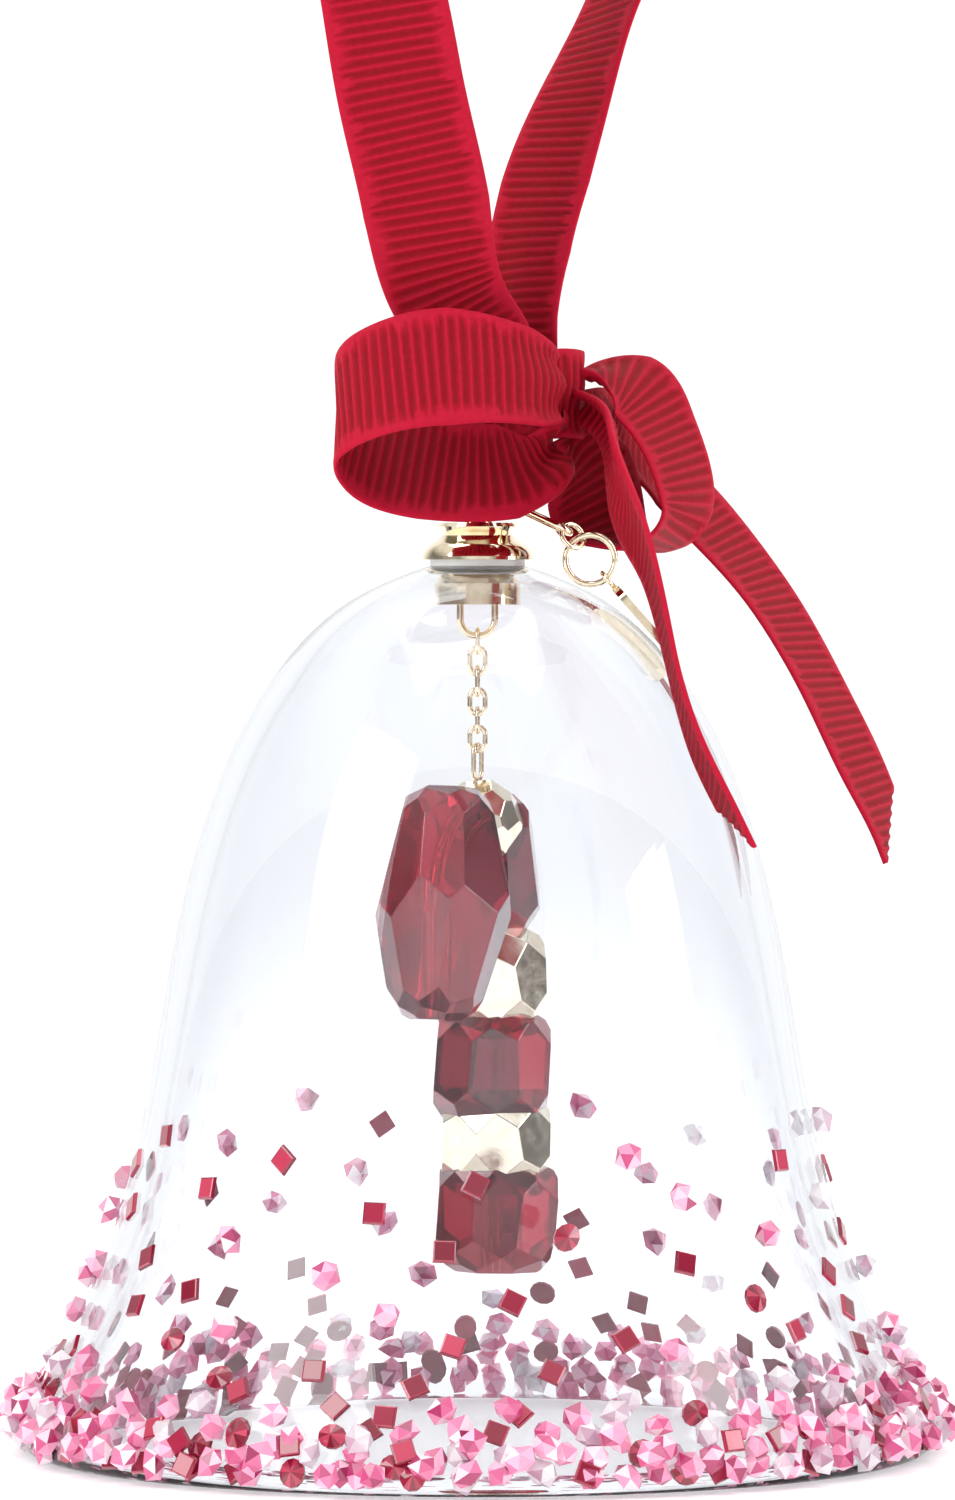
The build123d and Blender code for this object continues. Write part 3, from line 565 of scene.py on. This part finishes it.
def ribbon_piece(name, rows, node, pleat, seed, cut=None):
    """Grosgrain strip: a flat ribbed slab at its cut size, laid along a line of (place, across, width) rows."""
    table = [[*place, *across, width] for place, across, width in rows]
    knots, read = smooth_line(table)
    total = knots[-1]
    widths = [row[6] for row in table]
    bm = bmesh.new()
    along = max(int(total / rib_pitch * cells_per_rib), 12)
    bmesh.ops.create_grid(bm, x_segments=14, y_segments=along, size=0.5)
    for vert in bm.verts:
        vert.co.x = math.sin(math.pi * vert.co.x) * ribbon_width / 2
        vert.co.y = (vert.co.y + 0.5) * total
        vert.co.z = -1
    if cut:
        for point, normal in cut:
            bmesh.ops.bisect_plane(
                bm, geom=bm.verts[:] + bm.edges[:] + bm.faces[:],
                plane_co=(point[0], total + point[1], 0), plane_no=(normal[0], normal[1], 0), clear_outer=True,
            )
    raised = bmesh.ops.extrude_face_region(bm, geom=bm.faces[:])
    for item in raised["geom"]:
        if isinstance(item, bmesh.types.BMVert):
            item.co.z = 1
    bmesh.ops.recalc_face_normals(bm, faces=bm.faces)
    threads = bm.loops.layers.uv.new("threads")
    for face in bm.faces:
        for loop in face.loops:
            loop[threads].uv = (loop.vert.co.x, loop.vert.co.y)
    # Per-vertex depth of the grooves, which the ribbon material paints as shade.
    groove_shade = bm.verts.layers.float.new("groove_shade")
    for vert in bm.verts:
        x, distance, face_side = vert.co
        spot = read(distance)
        ahead = read(min(distance + 0.05, total)) - read(max(distance - 0.05, 0))
        run = Vector(ahead[:3]).normalized()
        across = Vector(spot[3:6])
        across = (across - run * across.dot(run)).normalized()
        normal = run.cross(across)
        width = float(np.interp(distance, knots, widths))
        share = width / ribbon_width
        edge = (ribbon_width / 2 - abs(x), 1 if x > 0 else -1)
        depth = rib_profile(distance, edge, seed)
        vert[groove_shade] = depth
        rounding = math.sqrt(max(1 - (abs(x) / (ribbon_width / 2)) ** 14, 0.0)) * 0.65 + 0.35
        thick = (ribbon_half_thickness - groove_depth * depth) * rounding * face_side
        gather = pleat * (1 - share) * math.cos(2 * math.pi * (1.5 * x / ribbon_width + 0.15 * seed))
        sway = 0.16 * noise.noise(Vector((x * 0.12, distance * 0.11, seed)))
        vert.co = Vector(spot[:3]) + across * (x * share) + normal * (thick + gather + sway)
    piece = finish_piece(bm, name, "ribbon", grosgrain, [node])
    return piece, total


def above_crown(rows):
    """Rows with their heights counted from the bell's crown."""
    return [((x, y, bell_height + z), across, width) for (x, y, z), across, width in rows]


hanging_route = above_crown([
    ((1.6, -0.6, 14.8), (1, 0, 0), 7.0), ((0.4, -1.6, 17.4), (1, 0, 0), 8.0),
    ((-2.0, -3.4, 20.6), (1, 0, 0), 9.0), ((-4.0, -5.6, 28.0), (1, 0, 0), 10.0),
    ((-5.9, -7.6, 36.5), (1, 0, 0), 10.0), ((-7.3, -9.0, 44.0), (0.98, -0.2, 0), 10.0),
    ((-8.3, -10.3, 50.5), (0.92, -0.4, 0), 10.0), ((-5.9, -7.9, 59.0), (0.8, -0.6, 0), 10.0),
    ((2.1, 0.1, 64.8), (0.707, -0.707, 0), 10.0), ((10.1, 8.1, 59.0), (0.6, -0.8, 0), 10.0),
    ((12.5, 10.4, 50.5), (0.5, -0.866, 0), 10.0), ((10.6, 8.7, 44.8), (0.43, -0.9, 0), 10.0),
    ((8.0, 6.4, 38.4), (0.57, -0.82, 0), 10.0), ((5.4, 4.2, 30.5), (0.7, -0.71, 0), 10.0),
    ((3.9, 2.7, 24.5), (0.75, -0.66, 0), 9.0), ((3.3, 1.4, 19.5), (0.85, -0.5, 0), 7.0),
    ((3.4, 0.9, 15.0), (0.97, -0.2, 0), 6.0),
])
left_loop_route = above_crown([
    ((4.6, -1.0, 14.0), (0, 0.3, 0.95), 3.4), ((6.4, -4.6, 14.0), (0, 0.25, 0.97), 5.0),
    ((4.6, -9.3, 14.6), (0, 0.35, 0.94), 8.0), ((-2.2, -12.6, 15.4), (0, 0.4, 0.92), 10.0),
    ((-8.0, -11.6, 14.3), (0, 0.45, 0.9), 10.0), ((-10.8, -8.6, 12.0), (0, 0.5, 0.87), 10.0),
    ((-9.2, -6.2, 9.4), (0, 0.55, 0.83), 10.0), ((-4.0, -5.4, 7.7), (0, 0.57, 0.82), 10.0),
    ((2.4, -5.2, 7.4), (0, 0.57, 0.82), 9.0), ((5.5, -4.0, 8.4), (0, 0.57, 0.82), 5.0),
    ((5.8, -1.0, 11.2), (0, 0.57, 0.82), 3.4),
])
right_loop_route = above_crown([
    ((6.4, 1.2, 14.6), (0.6, 0.78, 0.1), 3.4), ((9.4, 2.2, 15.2), (0.65, 0.74, 0.15), 7.0),
    ((12.3, 2.4, 14.4), (0.65, 0.74, 0.15), 10.0), ((14.7, 2.4, 11.2), (0.55, 0.83, 0.05), 10.0),
    ((16.3, 2.4, 7.2), (0.46, 0.88, 0.08), 10.0), ((16.5, 2.4, 4.2), (0.42, 0.9, 0.05), 10.0),
    ((15.0, 2.5, 2.1), (0.38, 0.92, 0), 10.0), ((12.2, 3.4, 1.5), (0.4, 0.91, 0), 10.0),
    ((10.4, 4.3, 3.0), (0.68, 0.73, 0.1), 10.0), ((8.8, 3.6, 7.2), (0.72, 0.68, 0.14), 9.8),
    ((6.9, 1.5, 10.9), (0.6, 0.78, 0.1), 3.4),
])
front_tail_route = above_crown([
    ((8.2, -0.4, 12.6), (0.0, -0.62, 0.78), 3.2), ((10.0, -3.4, 11.0), (0.0, -0.62, 0.78), 4.6),
    ((10.6, -8.2, 7.0), (0.02, -0.66, 0.75), 8.0), ((12.6, -13.5, 1.7), (0.03, -0.9, 0.42), 10.0),
    ((14.7, -15.6, -6.2), (0.02, -0.96, 0.27), 10.0), ((16.9, -17.6, -14.1), (0.0, -0.96, 0.27), 10.0),
    ((19.3, -19.0, -19.0), (0.0, -0.96, 0.27), 10.0), ((20.9, -19.6, -22.4), (0.0, -0.96, 0.27), 10.0),
])
side_tail_route = above_crown([
    ((7.2, 1.4, 12.6), (0.3, 0.9, 0.2), 3.0), ((9.8, 5.4, 12.0), (0.3, 0.9, 0.2), 5.0),
    ((12.0, 9.6, 10.2), (0.3, 0.93, 0.2), 8.0), ((15.2, 12.0, 7.2), (0.25, 0.9, 0.35), 10.0),
    ((18.4, 12.0, 3.9), (0.16, 0.88, 0.44), 10.0), ((23.8, 10.8, -2.8), (0.31, 0.92, 0.2), 10.0),
    ((27.6, 9.2, -9.4), (0.36, 0.92, 0.1), 10.0), ((30.8, 8.2, -16.2), (0.36, 0.92, 0.1), 10.0),
    ((32.9, 7.8, -20.8), (0.3, 0.93, 0.1), 10.0), ((33.9, 7.6, -23.4), (0.3, 0.93, 0.1), 10.0),
])
knot_route = [
    ((8.3, 0.2, 83.2), (0, 0, 1), 7.0), ((6.6, -2.1, 83.3), (0.1, 0, 1), 7.0),
    ((3.4, -2.5, 83.0), (0.12, 0, 1), 6.6), ((0.2, -2.1, 82.8), (0.1, 0, 1), 6.8),
    ((-1.4, 0.2, 82.8), (0, 0, 1), 6.8), ((0.2, 2.4, 82.9), (-0.05, 0, 1), 6.8),
    ((3.4, 2.8, 83.0), (-0.1, 0, 1), 6.6), ((6.8, 2.4, 83.2), (0, 0, 1), 6.8),
    ((8.2, 0.4, 83.2), (0, 0, 1), 6.8),
]
saddle_route = [
    ((0.0, -1.1, 82.6), (1, 0, 0), 3.6), ((0.0, -1.2, 79.0), (1, 0, 0), 3.2), ((0, -1.0, 78.3), (1, 0, 0), 2.9),
    ((0, 0, 77.3), (1, 0, 0), 2.8), ((0, 1.0, 78.3), (1, 0, 0), 2.9), ((0.0, 1.2, 79.0), (1, 0, 0), 3.2),
    ((0.0, 1.1, 82.6), (1, 0, 0), 3.6),
]


def make_ribbon():
    """Loop, bow and knot, each a strip of the same ribbon."""
    strips = [
        ("hanging_loop_ribbon", hanging_route, "hanging_ribbon", 0.5, None, "hung"),
        ("left_bow_ribbon", left_loop_route, "bow_left_loop", 0.9, None, "folded"),
        ("right_bow_ribbon", right_loop_route, "bow_right_loop", 0.9, None, "folded"),
        ("front_tail_ribbon", front_tail_route, "bow_front_tail", 0.9, [((0, -2.8), (-0.55, 1.0))], "hung"),
        ("side_tail_ribbon", side_tail_route, "bow_side_tail", 0.9, [((0, -2.8), (0.6, 1.0))], "hung"),
        ("knot_wrap_ribbon", knot_route, "bow_knot", 0.5, None, "folded"),
    ]
    bunch = ribbon_piece("ring_pass_ribbon", saddle_route, "ribbon_saddle", pleat=0.5, seed=9.3)[0]
    for number, (name, route, node, pleat, cut, held) in enumerate(strips):
        piece, length = ribbon_piece(name, route, node, pleat=pleat, cut=cut, seed=number * 3.1)


make_ribbon()


# ---- floor, light and camera ----
def make_stage():
    bm = bmesh.new()
    bmesh.ops.create_grid(bm, x_segments=1, y_segments=1, size=6.0)
    bmesh.ops.translate(bm, vec=(0, 0, -0.0002), verts=bm.verts)
    mesh = bpy.data.meshes.new("floor")
    bm.to_mesh(mesh)
    bm.free()
    floor = bpy.data.objects.new("floor", mesh)
    material, nodes, links, shader = new_material("white floor")
    shader.inputs["Base Color"].default_value = (0.9, 0.9, 0.91, 1)
    shader.inputs["Roughness"].default_value = 0.6
    shader.inputs["Emission Color"].default_value = (1, 1, 1, 1)
    shader.inputs["Emission Strength"].default_value = 0.3
    mesh.materials.append(material)
    bpy.context.scene.collection.objects.link(floor)


make_stage()


def make_light(name, place, aim, size, power):
    data = bpy.data.lights.new(name, "AREA")
    data.shape = "RECTANGLE"
    data.size, data.size_y = size
    data.energy = power
    lamp = bpy.data.objects.new(name, data)
    bpy.context.scene.collection.objects.link(lamp)
    lamp.location = place
    lamp.rotation_euler = (Vector(aim) - Vector(place)).to_track_quat("-Z", "Y").to_euler()


make_light("left softbox", (-0.7, -0.5, 0.5), (0, 0, 0.06), (0.5, 0.7), 5)
make_light("right softbox", (0.8, -0.2, 0.4), (0, 0, 0.06), (0.3, 0.7), 3)
make_light("top softbox", (0, 0.1, 0.9), (0, 0, 0.05), (0.8, 0.8), 3.5)


def make_world():
    """White surround to the eye; reflections and bent light find grey walls at the sides of a bright back."""
    world = bpy.data.worlds.new("studio")
    world.use_nodes = True
    bpy.context.scene.world = world
    nodes, links = world.node_tree.nodes, world.node_tree.links
    back = nodes["Background"]
    way = nodes.new("ShaderNodeTexCoord")
    split = nodes.new("ShaderNodeSeparateXYZ")
    links.new(way.outputs["Generated"], split.inputs["Vector"])
    zones = []
    spans = [("Y", 0.4, 0.88, 0.2, 1.14), ("Z", 0.3, 0.75, 0.0, 0.95), ("Y", -0.7, -0.97, 0.0, 0.85)]
    for axis, start, end, low, high in spans:
        zone = nodes.new("ShaderNodeMapRange")
        zone.interpolation_type = "SMOOTHSTEP"
        zone.inputs["From Min"].default_value = start
        zone.inputs["From Max"].default_value = end
        zone.inputs["To Min"].default_value = low
        zone.inputs["To Max"].default_value = high
        links.new(split.outputs[axis], zone.inputs["Value"])
        zones.append(zone.outputs["Result"])
    brightest = zones[0]
    for zone in zones[1:]:
        larger = nodes.new("ShaderNodeMath")
        larger.operation = "MAXIMUM"
        links.new(brightest, larger.inputs[0])
        links.new(zone, larger.inputs[1])
        brightest = larger.outputs["Value"]
    seen = nodes.new("ShaderNodeLightPath")
    choose = nodes.new("ShaderNodeMath")
    choose.operation = "MAXIMUM"
    links.new(seen.outputs["Is Camera Ray"], choose.inputs[0])
    links.new(brightest, choose.inputs[1])
    links.new(choose.outputs["Value"], back.inputs["Strength"])
    back.inputs["Color"].default_value = (0.99, 0.995, 1.0, 1)


make_world()

camera_data = bpy.data.cameras.new("camera")
camera_data.lens = 190.8
camera_data.sensor_width = 36
camera_data.clip_start = 0.01
camera = bpy.data.objects.new("camera", camera_data)
bpy.context.scene.collection.objects.link(camera)
camera.location = (0, -0.628, 0.067)
camera.rotation_euler = (math.radians(90 - 1.08), 0, 0)
bpy.context.scene.camera = camera
bpy.context.scene.view_settings.view_transform = "Standard"
